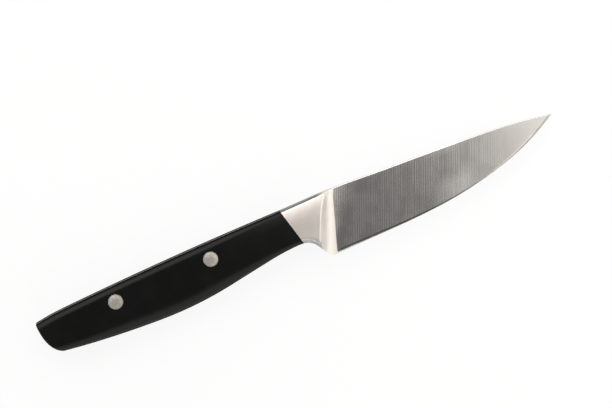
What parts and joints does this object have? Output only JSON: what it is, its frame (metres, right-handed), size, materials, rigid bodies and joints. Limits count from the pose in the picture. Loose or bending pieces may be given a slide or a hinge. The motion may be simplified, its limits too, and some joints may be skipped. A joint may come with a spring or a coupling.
{
  "type": "paring knife",
  "caption": "Paring knife: satin steel blade forged in one with its bolster and full tang, and black riveted handle scales, for peeling and trimming by hand.",
  "frame": {"origin": "on the flat outer side of the left scale, midway between the two rivets", "axes": "+X runs along the knife from the rear rivet through the front rivet, towards the tip. +Y points to the spine and -Y to the cutting edge. +Z points out of the knife's right side, so the knife lies on its left side"},
  "size_m": [0.2032, 0.0233, 0.013],
  "materials": {
    "blade_steel": "stainless steel: satin ground across the blade, polished on the bolster",
    "scale_black": "moulded black handle plastic, fine matt sheen, edges softly buffed",
    "rivet_steel": "stainless steel, ground flush with the scales and finely brushed"
  },
  "bodies": {
    "root": {"blade": "blade_steel", "left_scale": "scale_black", "right_scale": "scale_black", "rear_rivet_socket": "rivet_steel", "rear_rivet_pin": "rivet_steel", "front_rivet_socket": "rivet_steel", "front_rivet_pin": "rivet_steel"}
  },
  "joints": []
}
